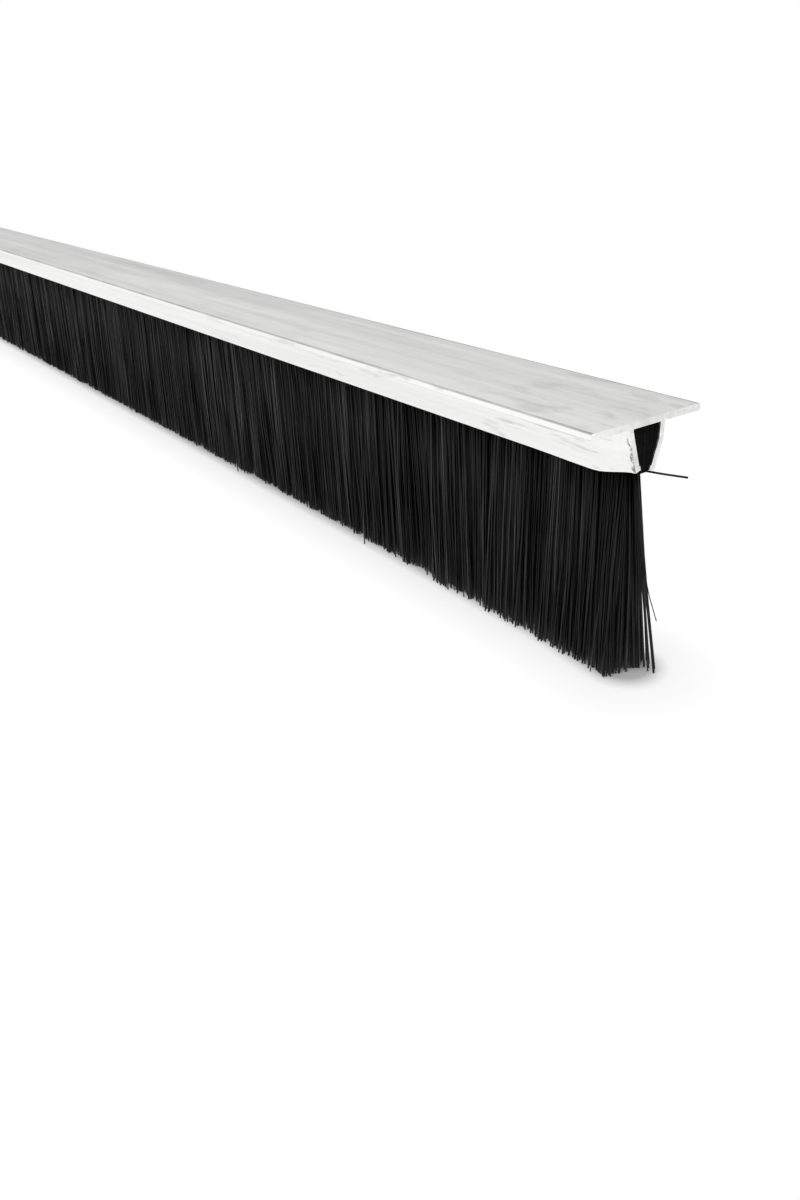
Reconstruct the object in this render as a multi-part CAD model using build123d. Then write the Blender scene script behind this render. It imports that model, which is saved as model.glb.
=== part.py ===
from build123d import *
from collections import namedtuple
import math
import os
import random

# Carrier, an extruded section with a flat plate over a channel that is open below
length = 914.0
plate_width = 25.0
plate_thickness = 1.2
plate_edge_radius = 0.3
carrier_height = 9.3
channel_width = 8.2
wall_thickness = 1.0
bead_reach = 0.2
bead_height = 0.8

# Ends of the channel, where both walls are squeezed in over the brush to hold it
pinch_length = 7.6
front_pinch_angle = 17.5
rear_pinch_angle = 18.0
front_hinge_drop = 0.4
rear_hinge_drop = 2.8
front_draw_up = 0.06
rear_draw_up = 0.01
bulge_angle = 3.5
bulge_length = 14.0
pinch_steps = 8
bulge_steps = 3

# Brush back, a plastic strip that slides in the channel and sits on its beads
back_clearance = 0.1
back_recess = 2.6
groove_depth = 2.6
groove_wall = 0.6

# Bristles, rooted in the back's groove and fanned out to cut tips
brush_height = 45.0
root_clearance = 0.05
pack_clearance = 0.1
bristle_recess = 2.8
tip_half_width = 4.7
end_tip_half_width = 5.8
end_flare_length = 250.0
end_splay = 6.4
splay_length = 16.0
seam_inset = 0.05

# Tufts, the clumps that the bristles gather into
tuft_pitch = 4.0
tuft_shoulder = 0.25
tuft_relief = 0.7
tuft_scatter = 0.35
notch_height = 2.6
tip_raggedness = 0.9
end_shortfall = 0.4
tuft_seed = 11

# Sizes worked out from the driving ones
outer_half = channel_width / 2
inner_half = outer_half - wall_thickness
slot_half = inner_half - bead_reach
roof = -plate_thickness
foot = -carrier_height
bead_top = foot + bead_height
groove_top = bead_top + groove_depth
back_half = inner_half - back_clearance
groove_half = back_half - groove_wall
root_half = groove_half - root_clearance
pack_half = slot_half - pack_clearance
tips = -brush_height

Wall = namedtuple("Wall", "side hinge pinch_angle draw_up")
front_wall = Wall(-1, roof - front_hinge_drop, front_pinch_angle, front_draw_up)
rear_wall = Wall(1, roof - rear_hinge_drop, rear_pinch_angle, rear_draw_up)


# Goes from one value to another as share goes from 0 to 1, level at both ends
def ease(start, end, share):
    return start + (end - start) * (1 - math.cos(math.pi * share)) / 2


# Angle that a wall leans inward by, at a distance from the carrier's end
def lean(wall, from_end):
    if from_end < pinch_length:
        return ease(wall.pinch_angle, -bulge_angle, from_end / pinch_length)
    share = min(1, (from_end - pinch_length) / bulge_length)
    return ease(-bulge_angle, 0, share)


# Place of a section's point once its wall leans about the hinge line and draws up towards it
def swung(wall, half_width, height, from_end):
    if height >= wall.hinge:
        return wall.side * half_width, height
    degrees = lean(wall, from_end)
    angle = math.radians(degrees)
    out = half_width - inner_half
    down = (wall.hinge - height) * (1 - wall.draw_up * max(0, degrees) / wall.pinch_angle)
    across = inner_half + out * math.cos(angle) - down * math.sin(angle)
    return wall.side * across, wall.hinge - down * math.cos(angle) - out * math.sin(angle)


# Places along the carrier where its section is drawn, close together where the walls bend
def stations():
    from_end = [pinch_length * step / pinch_steps for step in range(pinch_steps + 1)]
    bulge_step = bulge_length / bulge_steps
    from_end += [pinch_length + bulge_step * (step + 1) for step in range(bulge_steps)]
    left = [(distance - length / 2, distance) for distance in from_end]
    right = [(length / 2 - distance, distance) for distance in reversed(from_end)]
    return left + right


# Strip whose section, given by its outline at a distance from the end, follows the walls
def channel_strip(outline):
    sections = []
    for x, from_end in stations():
        sections.append(Plane.YZ.offset(x) * Polygon(*outline(from_end), align=None))
    return loft(sections, ruled=True)


# The part of a strip that lies above a height and stays short of the carrier's ends
def recessed(strip, recess, lowest):
    top_centre = (Align.CENTER, Align.CENTER, Align.MAX)
    return strip & Box(length - 2 * recess, plate_width, -lowest, align=top_centre)


def channel_wall(wall):
    def outline(from_end):
        section = [
            (inner_half, roof / 2),
            (inner_half, wall.hinge),
            (inner_half, bead_top),
            (slot_half, bead_top),
            (slot_half, foot),
            (outer_half, foot),
            (outer_half, wall.hinge),
            (outer_half, roof / 2),
        ]
        return [swung(wall, half_width, height, from_end) for half_width, height in section]

    return channel_strip(outline)


def carrier():
    plate_section = RectangleRounded(plate_width, plate_thickness, plate_edge_radius)
    plate = extrude(Plane.YZ * Pos(0, roof / 2) * plate_section, length / 2, both=True)
    return plate + channel_wall(front_wall) + channel_wall(rear_wall)


# Outline drawn down the front side and back up the rear, each side leaning with its wall
def two_sided(side_points, from_end):
    front = [swung(front_wall, *point, from_end) for point in side_points(front_wall)]
    rear = [swung(rear_wall, *point, from_end) for point in side_points(rear_wall)]
    return front + rear[::-1]


def brush_back():
    def side_points(wall):
        return [
            (back_half, roof - back_clearance),
            (back_half, wall.hinge),
            (back_half, bead_top),
            (groove_half, bead_top),
            (groove_half, groove_top),
        ]

    strip = channel_strip(lambda from_end: two_sided(side_points, from_end))
    return recessed(strip, back_recess, roof * 2 + foot)


# Bristles inside the carrier: rooted in the groove, then packed between the beads
def bristle_pack():
    shoulder = bead_top - root_clearance

    def side_points(wall):
        return [
            (root_half, groove_top - root_clearance),
            (root_half, shoulder),
            (pack_half, shoulder),
            (pack_half, foot - 2 * wall_thickness),
        ]

    strip = channel_strip(lambda from_end: two_sided(side_points, from_end))
    return recessed(strip, bristle_recess, foot)


# Half the width of the pack where it leaves the channel
def mouth_half_width(wall, from_end):
    angle = math.radians(lean(wall, from_end))
    out = pack_half - inner_half
    return inner_half + out / math.cos(angle) - (wall.hinge - foot) * math.tan(angle) - seam_inset


# One side of the fan's section, at the mouth and at the tip, set in by some of a tuft's relief
def fan_side(wall, from_end, inset, tip_height):
    mouth = mouth_half_width(wall, from_end)
    narrowing = mouth / mouth_half_width(wall, length / 2)
    tip = ease(end_tip_half_width, tip_half_width, min(1, from_end / end_flare_length))
    return [(wall.side * (mouth - inset * narrowing), 0), (wall.side * (tip - inset), tip_height - foot)]


# One section of the fan; near the carrier's ends its plane tilts outward about the mouth
def fan_section(x, on_tuft, scatter):
    from_end = length / 2 - abs(x)
    splay_share = ease(1, 0, min(1, from_end / splay_length))
    tilt = splay_share * math.degrees(math.atan(end_splay / (brush_height - carrier_height)))
    shortfall = tip_raggedness * max(0, scatter.uniform(-0.5, 1))
    if splay_share > 0:
        shortfall += end_shortfall
    tip_height = tips + (shortfall if on_tuft else notch_height * scatter.uniform(0.4, 1))
    gap = 0 if on_tuft else tuft_relief
    front = fan_side(front_wall, from_end, gap + tuft_scatter * scatter.random(), tip_height)
    rear = fan_side(rear_wall, from_end, gap + tuft_scatter * scatter.random(), tip_height)
    outline = Plane.YZ * Polygon(*front, *rear[::-1], align=None)
    return Pos(x, 0, foot) * Rot(0, -math.copysign(tilt, x), 0) * outline


# Free bristles, drawn tuft by tuft with a gap after each
def bristle_fan():
    scatter = random.Random(tuft_seed)
    half_length = length / 2 - bristle_recess - seam_inset
    tuft_count = round(2 * half_length / tuft_pitch)
    pitch = 2 * half_length / tuft_count
    sections = [fan_section(-half_length, False, scatter)]
    for tuft in range(tuft_count):
        start = pitch * tuft - half_length
        sections.append(fan_section(start + pitch * tuft_shoulder, True, scatter))
        sections.append(fan_section(start + pitch * (1 - tuft_shoulder), True, scatter))
        sections.append(fan_section(start + pitch, False, scatter))
    return loft(sections, ruled=True)


def bristle_curtain():
    return bristle_pack() + bristle_fan()


os.makedirs("parts", exist_ok=True)
export_step(carrier(), "parts/carrier.step")
export_step(brush_back(), "parts/brush_back.step")
export_step(bristle_curtain(), "parts/bristle_curtain.step")
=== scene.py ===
import bpy
import math
import numpy as np
from collections import namedtuple
from mathutils import Matrix, Vector


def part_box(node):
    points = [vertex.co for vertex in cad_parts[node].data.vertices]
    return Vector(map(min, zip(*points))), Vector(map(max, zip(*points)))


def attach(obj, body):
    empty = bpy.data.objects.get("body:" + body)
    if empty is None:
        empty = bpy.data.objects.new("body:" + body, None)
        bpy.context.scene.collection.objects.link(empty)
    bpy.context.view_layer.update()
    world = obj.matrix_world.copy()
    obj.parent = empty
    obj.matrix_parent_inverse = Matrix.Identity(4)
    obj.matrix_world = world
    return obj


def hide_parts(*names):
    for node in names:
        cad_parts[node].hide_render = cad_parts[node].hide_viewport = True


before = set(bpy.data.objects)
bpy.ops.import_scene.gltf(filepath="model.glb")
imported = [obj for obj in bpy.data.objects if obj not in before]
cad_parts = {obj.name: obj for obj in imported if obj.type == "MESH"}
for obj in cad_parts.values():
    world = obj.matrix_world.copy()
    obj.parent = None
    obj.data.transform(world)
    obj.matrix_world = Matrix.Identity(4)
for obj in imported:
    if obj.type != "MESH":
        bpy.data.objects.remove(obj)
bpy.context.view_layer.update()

# Places on the part, in metres
carrier_low, carrier_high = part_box("carrier")
back_low, back_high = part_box("brush_back")
curtain_low, curtain_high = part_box("bristle_curtain")
half_length = carrier_high[0]
half_width = carrier_high[1]
floor_height = curtain_low[2]
mouth_height = carrier_low[2]
plate_underside = -0.0012

# Bristles, and the pack that they form up to the carrier's mouth, filled out near the ends
strand_radius = 0.00017
strand_count = 38000
strand_pieces = 4
upright_share = 0.7
root_rise = 0.0023
root_height = back_low[2] + root_rise
pack_clearance = 0.0002
pack_recess = half_length - back_high[0] + pack_clearance
pack_half_width = 0.0026
pinch_length = 0.0076
front_end_half_width = 0.0006
rear_end_half_width = 0.0013
end_filling = 0.6

# Fan of the tips, wider in front and narrower behind towards the ends
tip_half_width = 0.0043
end_tip_half_width = 0.0065
end_flare_length = 0.11
rear_flare_share = -0.85
tip_overhang = 0.0008
tip_clearance = 0.00002

# Outward lean of the bristles towards the ends
end_splay = 0.0021
splay_length = 0.016
end_splay_scatter = 0.1
end_splay_gain = 0.35
rear_splay = 0.0012
rear_splay_length = 0.0065
end_lean = 0.0016
end_lean_length = 0.09
swept_lean = 0.0047
swept_full = 0.06
swept_length = 0.22

# Slow waves of lean along the strip, by length, height and phase
lean_waves = ((0.15, 0.0007, 1.1), (0.067, 0.0005, 2.3), (0.029, 0.0003, 0.4))
wave_fade_length = 2 * splay_length

# Scatter of the bristles, and the clumps that they gather into
trim_scatter = 0.00018
tip_scatter = 0.0003
bow_scatter = 0.0002
stray_share = 0.012
stray_scatter = 0.0012
clump_length = 0.0024
clump_lanes = 4
lane_shift = 0.37
clump_gathering = 0.15
clump_lean_scatter = 0.0007

# The few bristles at each end that fan out past the rest, in small groups
outer_count = 40
outer_groups = 4
outer_crowding = 1.5
outer_tightening = 0.75
outer_group_spread = 0.0003
outer_recess = 0.0019
outer_splay_least = 0.0032
outer_splay_most = 0.0067
outer_root_scatter = 0.0003
outer_tip_scatter = 0.0002
outer_trim_scatter = 3 * trim_scatter
outer_mouth_y = 0.0002
outer_tip_y = 0.0012

# Bristle roots that show inside each open end, by the height, front and rear of each row of points
end_root_count = 900
end_root_rows = ((-0.0014, -0.0030, 0.0030), (-0.0040, -0.0023, 0.0029), (-0.0092, -0.0006, 0.0012))
end_recess_least = 0.0003
end_recess_most = 0.0012

# Bristles that stand away from the rest, by points with x measured from the carrier's near end
loose_radius = 0.00021
loose_bristle = ((-0.0018, 0.0008, -0.0092), (0.0020, 0.0024, -0.0093), (0.00564, 0.0040, -0.0093))
hair_radius = 0.0001
front_hair = ((-0.0040, -0.0015, -0.0093), (-0.0030, -0.0046, -0.0270), (-0.0024, -0.0070, -0.0449))
side_hair = ((0.0008, 0.0004, -0.0245), (0.0031, 0.0004, -0.0305), (0.0050, 0.0004, -0.0343))

# Noises, by their scale along, across and up, their detail and their roughness
Noise = namedtuple("Noise", "scale detail roughness", defaults=[0.6])
streak_noise = Noise((5, 190, 190), 5, 0.65)
smear_noise = Noise((38, 160, 160), 5)
grain_noise = Noise((25, 2600, 2600), 2)
ripple_noise = Noise((110, 300, 300), 3, 0.5)
scratch_noise = Noise((60, 600, 600), 3)
burr_noise = Noise((1200, 900, 900), 3)
mottle_noise = Noise((900, 900, 900), 4)
band_noise = Noise((520, 200, 7), 2)
group_noise = Noise((170, 60, 4), 1)

# Finish of the metal; a ramp turns one range of a value into another
Ramp = namedtuple("Ramp", "low high to_low to_high")
metal_colour = (0.97, 0.97, 0.962, 1)
streak_tones = Ramp(0.38, 0.62, 0.94, 1.055)
streak_roughness = Ramp(0.3, 0.7, 0.40, 0.52)
grain_tones = Ramp(0.3, 0.7, 0.975, 1.015)
grain_strength = 0.25
grain_height = 0.00003

# How far a face's normal has to turn a way for the face to count as turned that way
squarely = Ramp(0.8, 0.95, 0, 1)
frontward = Ramp(-0.6, -0.85, 0, 1)
upward = Ramp(0.3, 0.5, 0, 1)

# Darker places on the metal: painted shade on the plate's top, a painted dark reflection along its long
# edges, and marks where it was handled, scuffed and sawn
top_rear_shade = 0.14
front_shade = 0.11
front_shade_start = 0.1
front_shade_full = 0.28
handled_length = 0.05
scuffed_length = 0.15
scuffed_least = 0.2
burr_length = 0.0009
end_face_burrs = Ramp(-half_width, 0, 0.1, 1.2)
sawn_edge_height = 0.0014
sawn_edge = Ramp(plate_underside - sawn_edge_height, plate_underside, 1, 0)
# Painted dark reflection along the plate's long upper edges
edge_reflection_width = 0.0008
edge_reflection_darkness = 0.5
edge_reflection_breaks = Ramp(0.35, 0.6, 0.35, 1)

# Marks in the metal, by the noise at which they start, how softly they start and how dark they get
Marks = namedtuple("Marks", "threshold softness darkness")
smear_marks = Marks(0.48, 0.25, 0.10)
ripple_marks = Marks(0.52, 0.12, 0.15)
scratch_marks = Marks(0.6, 0.1, 0.25)
end_face_marks = Marks(0.2, 0.8, 0.32)
sawn_edge_marks = Marks(0.46, 0.1, 0.72)

# Finish of the plastic and of the bristles
mottle_tones = Ramp(0.3, 0.7, 0.002, 0.005)
plastic_roughness = 0.7
plastic_specular = 0.1
bristle_tones = Ramp(0, 1, 0.0014, 0.047)
bristle_tone_power = 3
bristle_roughness = Ramp(0, 1, 0.3, 0.55)
bristle_specular = 0.22
band_tones = Ramp(0.35, 0.65, 0.3, 1.8)
group_tones = Ramp(0.35, 0.65, 0.7, 1.45)

# Shade among the bristles where the carrier squeezes them
squeeze_darkening = 0.95
squeeze_full = 0.003
squeeze_start = 0.014
squeeze_low = -0.034
squeeze_high = -0.014

# Light; gloss shows a white room that is dimmer on the rear side, and more so towards the far end
white = (1, 1, 1, 1)
world_strength = 0.72
room_tone = 0.77
far_room_tone = 0.58
far_room_start = -0.6
far_room_full = -1.0
room_edge = 0.15
key_strength = 0.8
key_softness = math.radians(50)
key_direction = Vector((0.35, -0.75, 0.9))

# Floor, shaded by its distance from the tips, with painted shadow in its colour near them
floor_size = 60
floor_tone = 0.95
contact_shadow_tone = 0.6
contact_start = 0.0028
contact_end = 0.0066
shade_shift = 0.001
end_shade_reach = 0.0014
floor_lift = 0.65
floor_clear_start = 0.005
floor_clear_end = 0.016

# Camera, from the photograph's vanishing lines
camera_place = Vector((0.55622, -0.11671, 0.04548))
camera_pitch = math.radians(27.11)
camera_yaw = math.radians(55.53)
camera_roll = math.radians(2.41)
focal_pixels = 971.76
frame_height = 1200
sensor_long_side = 36
clip_near = 0.005
clip_far = 100

seed = 12
rng = np.random.default_rng(seed)

# Sockets of a vector's parts, and those that the metal's marks are worked out from
Axes = namedtuple("Axes", "x y z")
Surface = namedtuple("Surface", "place at facing from_end smears")


# The nodes of a material or a world, with a short call for each kind that is used here
class Graph:
    def __init__(self, tree):
        self.nodes = tree.nodes
        self.links = tree.links

    def add(self, kind, **settings):
        node = self.nodes.new(kind)
        for name, value in settings.items():
            setattr(node, name, value)
        return node

    def link(self, output, socket):
        self.links.new(output, socket)

    def place(self):
        return self.add("ShaderNodeTexCoord").outputs["Object"]

    def axes(self, vector):
        node = self.add("ShaderNodeSeparateXYZ")
        self.link(vector, node.inputs["Vector"])
        return Axes(*(node.outputs[axis] for axis in "XYZ"))

    def noise(self, place, scale, detail, roughness):
        mapping = self.add("ShaderNodeMapping")
        mapping.inputs["Scale"].default_value = scale
        noise = self.add("ShaderNodeTexNoise")
        noise.inputs["Scale"].default_value = 1
        noise.inputs["Detail"].default_value = detail
        noise.inputs["Roughness"].default_value = roughness
        self.link(place, mapping.inputs["Vector"])
        self.link(mapping.outputs["Vector"], noise.inputs["Vector"])
        return noise.outputs["Fac"]

    def remap(self, value, low, high, to_low, to_high):
        node = self.add("ShaderNodeMapRange")
        node.inputs["From Min"].default_value = low
        node.inputs["From Max"].default_value = high
        node.inputs["To Min"].default_value = to_low
        node.inputs["To Max"].default_value = to_high
        self.link(value, node.inputs["Value"])
        return node.outputs["Result"]

    def combine(self, operation, first, second=0):
        node = self.add("ShaderNodeMath", operation=operation)
        for socket, value in zip(node.inputs, (first, second)):
            if isinstance(value, (int, float)):
                socket.default_value = value
            else:
                self.link(value, socket)
        return node.outputs["Value"]

    def product(self, first, *others):
        for other in others:
            first = self.combine("MULTIPLY", first, other)
        return first

    # Distance from the nearer end of the carrier
    def from_end(self, x):
        return self.combine("SUBTRACT", half_length, self.combine("ABSOLUTE", x))

    # A tone of 1 apart from marks where the noise is high, kept to where the mask is 1
    def marks(self, noise, mask, threshold, softness, darkness):
        strength = self.remap(noise, threshold, threshold + softness, 0, darkness)
        return self.combine("SUBTRACT", 1, self.product(strength, mask))

    def grey(self, tone):
        node = self.add("ShaderNodeCombineColor")
        for channel in ("Red", "Green", "Blue"):
            self.link(tone, node.inputs[channel])
        return node.outputs["Color"]

    def tinted(self, tone, colour):
        node = self.add("ShaderNodeMix", data_type="RGBA", blend_type="MULTIPLY")
        node.inputs["Factor"].default_value = 1
        node.inputs["A"].default_value = colour
        self.link(self.grey(tone), node.inputs["B"])
        return node.outputs["Result"]

    # All that gloss and glass see, and a share of what the camera sees
    def seen(self, rays, camera_share):
        share = self.product(camera_share, rays["Is Camera Ray"])
        for ray in ("Is Glossy Ray", "Is Transmission Ray"):
            share = self.combine("MAXIMUM", share, rays[ray])
        return share

    def output_mix(self, output, share, first, second):
        mix = self.add("ShaderNodeMixShader")
        self.link(share, mix.inputs["Fac"])
        self.link(first, mix.inputs[1])
        self.link(second, mix.inputs[2])
        self.link(mix.outputs["Shader"], self.nodes[output].inputs["Surface"])


def new_material(name):
    material = bpy.data.materials.new(name)
    material.use_nodes = True
    graph = Graph(material.node_tree)
    return material, graph, graph.nodes["Principled BSDF"]


# The plate's top: painted shade, darker to the rear and in front away from the ends; smeared, and
# rippled where it was handled
def top_tone(graph, surface, tone):
    on_top = graph.remap(surface.facing.z, *squarely)
    rearward = graph.remap(surface.at.y, -half_width, half_width, 0, top_rear_shade)
    forward = graph.remap(surface.at.y, -half_width, half_width, front_shade, 0)
    painted_front_shade = graph.product(forward, graph.remap(surface.from_end, front_shade_start, front_shade_full, 0, 1))
    # Painted shade on the top, to the rear and in front away from the ends
    for darkening in (rearward, painted_front_shade):
        tone = graph.combine("SUBTRACT", tone, graph.product(darkening, on_top))
    handled = graph.remap(surface.from_end, handled_length / 3, handled_length, 1, 0)
    handled = graph.product(handled, on_top)
    ripples = graph.noise(surface.place, *ripple_noise)
    tone = graph.product(tone, graph.marks(surface.smears, on_top, *smear_marks))
    return graph.product(tone, graph.marks(ripples, handled, *ripple_marks))


# The channel's front wall: scratched, and most of all near the ends
def wall_tone(graph, surface, tone):
    scuffed = graph.remap(surface.from_end, scuffed_length / 3, scuffed_length, 1, scuffed_least)
    scuffed = graph.product(scuffed, graph.remap(surface.facing.y, *frontward))
    scratches = graph.noise(surface.place, *scratch_noise)
    return graph.product(tone, graph.marks(scratches, scuffed, *scratch_marks))


# The sawn ends: burrs on the end faces and along the front wall's edge
def end_tone(graph, surface, tone):
    burrs = graph.noise(surface.place, *burr_noise)
    on_end = graph.remap(graph.combine("ABSOLUTE", surface.facing.x), *squarely)
    on_end = graph.product(on_end, graph.remap(surface.at.y, *end_face_burrs))
    sawn = graph.remap(surface.from_end, burr_length / 2, burr_length, 1, 0)
    sawn = graph.product(sawn, graph.remap(surface.facing.y, *frontward))
    sawn = graph.product(sawn, graph.remap(surface.at.z, *sawn_edge))
    tone = graph.product(tone, graph.marks(burrs, on_end, *end_face_marks))
    return graph.product(tone, graph.marks(burrs, sawn, *sawn_edge_marks))


# Painted dark reflection: thin, broken dark lines along the plate's long upper edges
def edge_reflection_tone(graph, surface, tone):
    from_side = graph.combine("SUBTRACT", half_width, graph.combine("ABSOLUTE", surface.at.y))
    dark_reflection = graph.remap(from_side, edge_reflection_width / 2, edge_reflection_width, edge_reflection_darkness, 0)
    dark_reflection = graph.product(dark_reflection, graph.remap(surface.facing.z, *upward))
    dark_reflection = graph.product(dark_reflection, graph.remap(surface.smears, *edge_reflection_breaks))
    return graph.product(tone, graph.combine("SUBTRACT", 1, dark_reflection))


def mill_aluminium():
    material, graph, shader = new_material("mill_aluminium")
    place = graph.place()
    at = graph.axes(place)
    facing = graph.axes(graph.add("ShaderNodeNewGeometry").outputs["Normal"])
    smears = graph.noise(place, *smear_noise)
    surface = Surface(place, at, facing, graph.from_end(at.x), smears)
    streaks = graph.noise(place, *streak_noise)
    grain = graph.noise(place, *grain_noise)
    tone = graph.product(graph.remap(streaks, *streak_tones), graph.remap(grain, *grain_tones))
    for marked_tone in (top_tone, wall_tone, end_tone, edge_reflection_tone):
        tone = marked_tone(graph, surface, tone)
    graph.link(graph.tinted(tone, metal_colour), shader.inputs["Base Color"])
    graph.link(graph.remap(streaks, *streak_roughness), shader.inputs["Roughness"])
    shader.inputs["Metallic"].default_value = 1.0
    bump = graph.add("ShaderNodeBump")
    bump.inputs["Strength"].default_value = grain_strength
    bump.inputs["Distance"].default_value = grain_height
    graph.link(grain, bump.inputs["Height"])
    graph.link(bump.outputs["Normal"], shader.inputs["Normal"])
    return material


def black_plastic():
    material, graph, shader = new_material("black_plastic")
    mottle = graph.noise(graph.place(), *mottle_noise)
    graph.link(graph.grey(graph.remap(mottle, *mottle_tones)), shader.inputs["Base Color"])
    shader.inputs["Roughness"].default_value = plastic_roughness
    shader.inputs["Specular IOR Level"].default_value = plastic_specular
    return material


# Each bristle has its own tone, in fine bands and wider groups, with painted shade where the carrier
# squeezes them
def black_bristle():
    material, graph, shader = new_material("black_bristle")
    island = graph.add("ShaderNodeNewGeometry").outputs["Random Per Island"]
    place = graph.place()
    at = graph.axes(place)
    tone = graph.remap(graph.combine("POWER", island, bristle_tone_power), *bristle_tones)
    for noise, tones in ((band_noise, band_tones), (group_noise, group_tones)):
        tone = graph.product(tone, graph.remap(graph.noise(place, *noise), *tones))
    squeezed = graph.remap(graph.from_end(at.x), squeeze_full, squeeze_start, squeeze_darkening, 0)
    squeezed = graph.product(squeezed, graph.remap(at.z, squeeze_low, squeeze_high, 0, 1))
    tone = graph.product(tone, graph.combine("SUBTRACT", 1, squeezed))
    graph.link(graph.grey(tone), shader.inputs["Base Color"])
    graph.link(graph.remap(island, *bristle_roughness), shader.inputs["Roughness"])
    shader.inputs["Specular IOR Level"].default_value = bristle_specular
    return material


# Goes from 0 to 1 as the share does, level at both ends
def ease(share):
    return (1 - np.cos(np.pi * np.clip(share, 0, 1))) / 2


# Goes from 1 at no distance down to 0 at the length
def fade(distance, length):
    return 1 - ease(distance / length)


def blend(start, end, share):
    return start + (end - start) * share


# Points by their coordinates, where a single number holds for all
def points(x, y, z):
    return np.stack(np.broadcast_arrays(x, y, z), axis=1)


# Two unit vectors across each strand
def sideways(directions):
    upright = np.abs(directions[:, 2:3]) > upright_share
    aside = np.where(upright, [[0.0, 1.0, 0.0]], [[0.0, 0.0, 1.0]])
    first = np.cross(aside, directions)
    first /= np.linalg.norm(first, axis=1, keepdims=True)
    return first, np.cross(directions, first)


# Three-cornered rings round each point of each path; paths is strands by points by 3
def strand_vertices(paths, radius):
    directions = paths[:, -1] - paths[:, 0]
    directions /= np.linalg.norm(directions, axis=1, keepdims=True)
    first, second = sideways(directions)
    turns = rng.uniform(0, 2 * np.pi, (len(paths), 1)) + np.arange(3) * 2 * np.pi / 3
    ring = np.cos(turns)[..., None] * first[:, None] + np.sin(turns)[..., None] * second[:, None]
    return (paths[:, :, None] + radius * ring[:, None]).reshape(-1, 3)


# Corner lists of the side quads, then of the two end triangles, of every strand
def strand_faces(count, point_count):
    ring, corner = np.meshgrid(np.arange(point_count - 1), np.arange(3), indexing="ij")
    here = ring * 3 + corner
    beside = ring * 3 + (corner + 1) % 3
    quads = np.stack([here, beside, beside + 3, here + 3], axis=-1).reshape(-1, 4)
    last = 3 * (point_count - 1)
    caps = np.array([[2, 1, 0], [last, last + 1, last + 2]])
    offsets = np.arange(count)[:, None, None] * 3 * point_count
    return (quads + offsets).reshape(-1, 4), (caps + offsets).reshape(-1, 3)


def strand_mesh(name, paths, radius):
    vertices = strand_vertices(paths, radius)
    quads, caps = strand_faces(*paths.shape[:2])
    corners = np.concatenate([quads.ravel(), caps.ravel()])
    sizes = np.concatenate([np.full(len(quads), 4), np.full(len(caps), 3)])
    mesh = bpy.data.meshes.new(name)
    mesh.vertices.add(len(vertices))
    mesh.vertices.foreach_set("co", vertices.ravel())
    mesh.loops.add(len(corners))
    mesh.loops.foreach_set("vertex_index", corners)
    mesh.polygons.add(len(sizes))
    mesh.polygons.foreach_set("loop_start", np.cumsum(sizes) - sizes)
    mesh.polygons.foreach_set("loop_total", sizes)
    mesh.polygons.foreach_set("use_smooth", sizes == 4)
    mesh.update(calc_edges=True)
    mesh.validate()
    return mesh


def strand_piece(name, paths, radius, material):
    mesh = strand_mesh(name, paths, radius)
    mesh.materials.append(material)
    piece = bpy.data.objects.new(name, mesh)
    bpy.context.scene.collection.objects.link(piece)
    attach(piece, "root")
    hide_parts("bristle_curtain")


# Places of the bristles along the strip, some of them moved to fill out the ends
def strand_places():
    reach = half_length - pack_recess
    x = rng.uniform(-reach, reach, strand_count)
    moved = rng.random(strand_count) < end_filling * splay_length / half_length
    near_end = np.sign(x) * (reach - splay_length * rng.random(strand_count))
    return np.sort(np.where(moved, near_end, x))


# Place of a bristle across the carrier's mouth, which is narrow where the ends are squeezed
def mouth_place(across, from_end):
    open_share = ease(from_end / pinch_length)
    front = blend(front_end_half_width, pack_half_width, open_share)
    rear = blend(rear_end_half_width, pack_half_width, open_share)
    return (rear - front) / 2 + across * (rear + front) / 2


# Place of a tip across the fan
def fan_place(across, from_end):
    flare = fade(from_end, end_flare_length) * np.where(across < 0, 1, rear_flare_share)
    return across * blend(tip_half_width, end_tip_half_width, flare)


# How far a tip leans outward along the strip
def tip_splay(across, from_end):
    splay = end_splay * fade(from_end, splay_length)
    splay *= 1 + end_splay_gain * across ** 2
    splay += rear_splay * fade(from_end - pack_recess, rear_splay_length) * (1 + across) / 2
    splay += end_lean * fade(from_end, end_lean_length) * (1 - across) / 2
    splay += swept_lean * ease(from_end / swept_full) * fade(from_end - swept_full, swept_length)
    return splay


def lengthwise_lean(x, from_end):
    lean = sum(height * np.sin(2 * np.pi * x / wave + phase) for wave, height, phase in lean_waves)
    return lean * ease(from_end / wave_fade_length)


# Number of a bristle's clump along the strip, where each lane's clumps start earlier than the last one's
def clump_number(x, lane):
    return np.floor((x + half_length) / clump_length + lane * lane_shift)


# How far a tip is drawn towards the middle of its clump
def clump_pull(x, lane):
    middle = (clump_number(x, lane) + 0.5 - lane * lane_shift) * clump_length - half_length
    return clump_gathering * (middle - x)


# One random value for each clump, read out for every bristle
def clump_values(x, lane, scatter):
    row = clump_number(x, lane).astype(int)
    table = rng.normal(0, scatter, (clump_lanes, row.max() + 1))
    return table[lane, row]


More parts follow.
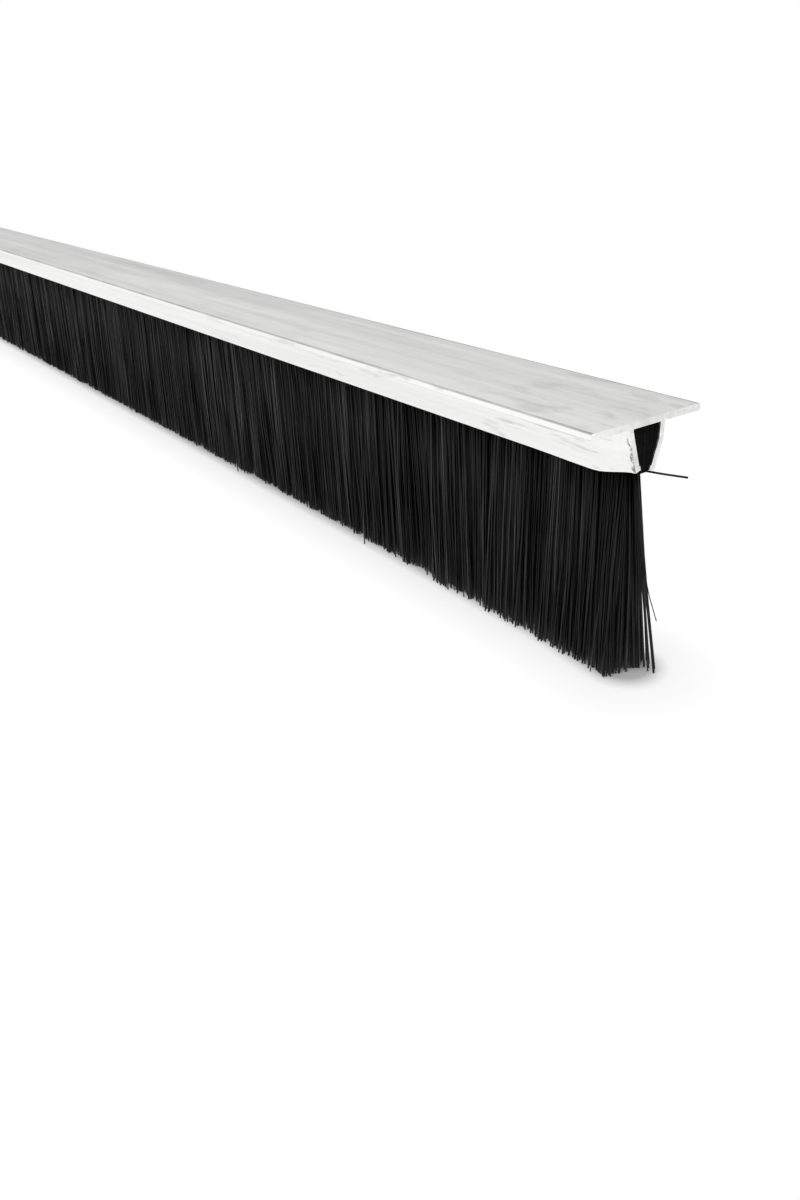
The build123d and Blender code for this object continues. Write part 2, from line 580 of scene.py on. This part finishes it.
def curtain_paths():
    x = strand_places()
    across = rng.uniform(-1, 1, strand_count)
    from_end = half_length - np.abs(x)
    lane = np.minimum(((across + 1) / 2 * clump_lanes).astype(int), clump_lanes - 1)

    splay = tip_splay(across, from_end) * np.sign(x) * rng.normal(1, end_splay_scatter, strand_count)
    wander = np.where(rng.random(strand_count) < stray_share, stray_scatter, tip_scatter)
    tip_x = x + clump_pull(x, lane) + splay + lengthwise_lean(x, from_end)
    tip_x += clump_values(x, lane, clump_lean_scatter) + rng.normal(0, 1, strand_count) * wander
    tip_y = fan_place(across, from_end) + clump_values(x, lane, tip_scatter)
    tip_y += rng.normal(0, 1, strand_count) * wander
    tip_y = np.clip(tip_y, curtain_low[1] - tip_overhang, curtain_high[1] + tip_overhang)
    tip_z = floor_height + tip_clearance + np.abs(rng.normal(0, trim_scatter, strand_count))

    bow_x = clump_values(x, lane, bow_scatter) + rng.normal(0, bow_scatter, strand_count)
    bow_y = rng.normal(0, bow_scatter, strand_count)
    mouth_y = mouth_place(across, from_end)
    root = points(x, mouth_y, root_height)
    mouth = points(x, mouth_y, mouth_height)
    tip = points(tip_x, tip_y, tip_z)
    return np.stack([root, (mouth + tip) / 2 + points(bow_x, bow_y, 0), tip], axis=1)


# The end that each bristle of a set is at, by turns
def end_sides(count):
    return np.where(np.arange(count) % 2 == 0, -1, 1)


# Bristles that leave the squeezed mouth together and spread into groups towards their tips
def outer_paths():
    side = end_sides(outer_count)
    group = np.floor(outer_groups * rng.random(outer_count) ** outer_crowding) / (outer_groups - 1)
    tightness = 1 - outer_tightening * group
    splay = blend(outer_splay_least, outer_splay_most, group)
    splay += outer_group_spread * tightness * rng.uniform(-1, 1, outer_count)
    mouth_x = half_length - outer_recess + rng.uniform(-1, 1, outer_count) * outer_root_scatter
    mouth_y = outer_mouth_y + rng.uniform(-1, 1, outer_count) * outer_root_scatter
    tip_x = half_length - outer_recess + splay
    tip_y = outer_tip_y + tightness * rng.normal(0, outer_tip_scatter, outer_count)
    tip_z = floor_height + np.abs(rng.normal(0, outer_trim_scatter, outer_count))
    mouth = points(side * mouth_x, mouth_y, mouth_height)
    tip = points(side * tip_x, tip_y, tip_z)
    return np.stack([mouth, (mouth + tip) / 2, tip], axis=1)


# Short bristles from the channel's roof down to the squeezed slot, just inside both ends
def end_root_paths():
    recess = rng.uniform(end_recess_least, end_recess_most, end_root_count)
    x = end_sides(end_root_count) * (half_length - recess)
    share = rng.uniform(0, 1, end_root_count)
    rows = [points(x, blend(front, rear, share), height) for height, front, rear in end_root_rows]
    return np.stack(rows, axis=1)


# Paths whose points are given with x measured from the carrier's near end
def near_end_paths(*paths):
    return np.array(paths) + (half_length, 0, 0)


def bristle_curtain(material, shaded_root_material):
    for number, paths in enumerate(np.array_split(curtain_paths(), strand_pieces)):
        strand_piece(f"bristles_{number + 1}", paths, strand_radius, material)
    # The roots inside the ends take the duller plastic finish, as painted shade in the cavity
    strand_piece("end_roots", end_root_paths(), strand_radius, shaded_root_material)
    strand_piece("outer_bristles", outer_paths(), strand_radius, material)
    strand_piece("loose_bristle", near_end_paths(loose_bristle), loose_radius, material)
    strand_piece("hairs", near_end_paths(front_hair, side_hair), hair_radius, material)


# Distance on the floor from the tips, which reach further at the ends
def tip_distance(graph):
    at = graph.axes(graph.place())
    along = graph.combine("ABSOLUTE", at.x)
    reach = graph.remap(along, half_length - splay_length, half_length, 0, end_shade_reach)
    past_end = graph.combine("MAXIMUM", graph.combine("SUBTRACT", along, half_length), 0)
    across = graph.combine("ADD", at.y, shade_shift)
    squares = graph.combine("ADD", graph.product(past_end, past_end), graph.product(across, across))
    return graph.combine("SUBTRACT", graph.combine("SQRT", squares), reach)


# White to the camera, apart from the shade under the tips, which is real shade together with painted
# shadow in the floor's colour
def floor_material():
    material, graph, shader = new_material("studio_floor")
    distance = tip_distance(graph)
    contact = graph.remap(distance, contact_start, contact_end, 0, 1)
    clear = graph.remap(distance, floor_clear_start, floor_clear_end, floor_lift, 1)
    # Painted shadow: the floor's own colour darkens towards the tips
    shade = graph.remap(contact, 0, 1, contact_shadow_tone, floor_tone)
    graph.link(graph.grey(shade), shader.inputs["Base Color"])
    shader.inputs["Roughness"].default_value = 1.0
    shader.inputs["Specular IOR Level"].default_value = 0
    seen = graph.seen(graph.add("ShaderNodeLightPath").outputs, graph.product(clear, contact))
    glow = graph.add("ShaderNodeEmission").outputs["Emission"]
    graph.output_mix("Material Output", seen, shader.outputs["BSDF"], glow)
    return material


def studio_floor():
    bpy.ops.mesh.primitive_plane_add(size=floor_size, location=(0, 0, floor_height))
    floor = bpy.context.object
    floor.name = "studio_floor"
    floor.data.materials.append(floor_material())


# Soft light on the object, and a white room for the camera, gloss and glass to show
def studio_world():
    world = bpy.data.worlds.new("studio")
    bpy.context.scene.world = world
    world.use_nodes = True
    graph = Graph(world.node_tree)
    soft = graph.nodes["Background"]
    room = graph.add("ShaderNodeBackground")
    for background in (soft, room):
        background.inputs["Color"].default_value = white
    soft.inputs["Strength"].default_value = world_strength
    rays = graph.add("ShaderNodeLightPath").outputs
    way = graph.axes(graph.add("ShaderNodeTexCoord").outputs["Generated"])
    rearward = graph.remap(way.y, -room_edge, room_edge, 0, 1)
    dimming = graph.remap(way.x, far_room_start, far_room_full, 1 - room_tone, 1 - far_room_tone)
    dimming = graph.product(dimming, rearward, rays["Is Glossy Ray"])
    graph.link(graph.combine("SUBTRACT", 1, dimming), room.inputs["Strength"])
    seen = graph.seen(rays, 1)
    graph.output_mix("World Output", seen, soft.outputs["Background"], room.outputs["Background"])


def key_light():
    data = bpy.data.lights.new("key", "SUN")
    data.energy = key_strength
    data.angle = key_softness
    key = bpy.data.objects.new("key", data)
    bpy.context.scene.collection.objects.link(key)
    key.rotation_euler = key_direction.to_track_quat("Z", "Y").to_euler()


def photograph_camera():
    data = bpy.data.cameras.new("camera")
    data.sensor_width = sensor_long_side
    data.lens = focal_pixels / frame_height * sensor_long_side
    data.clip_start = clip_near
    data.clip_end = clip_far
    camera = bpy.data.objects.new("camera", data)
    bpy.context.scene.collection.objects.link(camera)
    turn = Matrix.Rotation(camera_yaw, 4, "Z")
    tilt = Matrix.Rotation(math.pi / 2 - camera_pitch, 4, "X")
    roll = Matrix.Rotation(-camera_roll, 4, "Z")
    camera.matrix_world = Matrix.Translation(camera_place) @ turn @ tilt @ roll
    bpy.context.scene.camera = camera


def dress(node, material):
    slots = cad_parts[node].data.materials
    slots.clear()
    slots.append(material)


photograph_camera()
studio_world()
key_light()
studio_floor()
dress("carrier", mill_aluminium())
plastic = black_plastic()
dress("brush_back", plastic)
bristle_curtain(black_bristle(), plastic)

bpy.context.scene.view_settings.view_transform = "Standard"
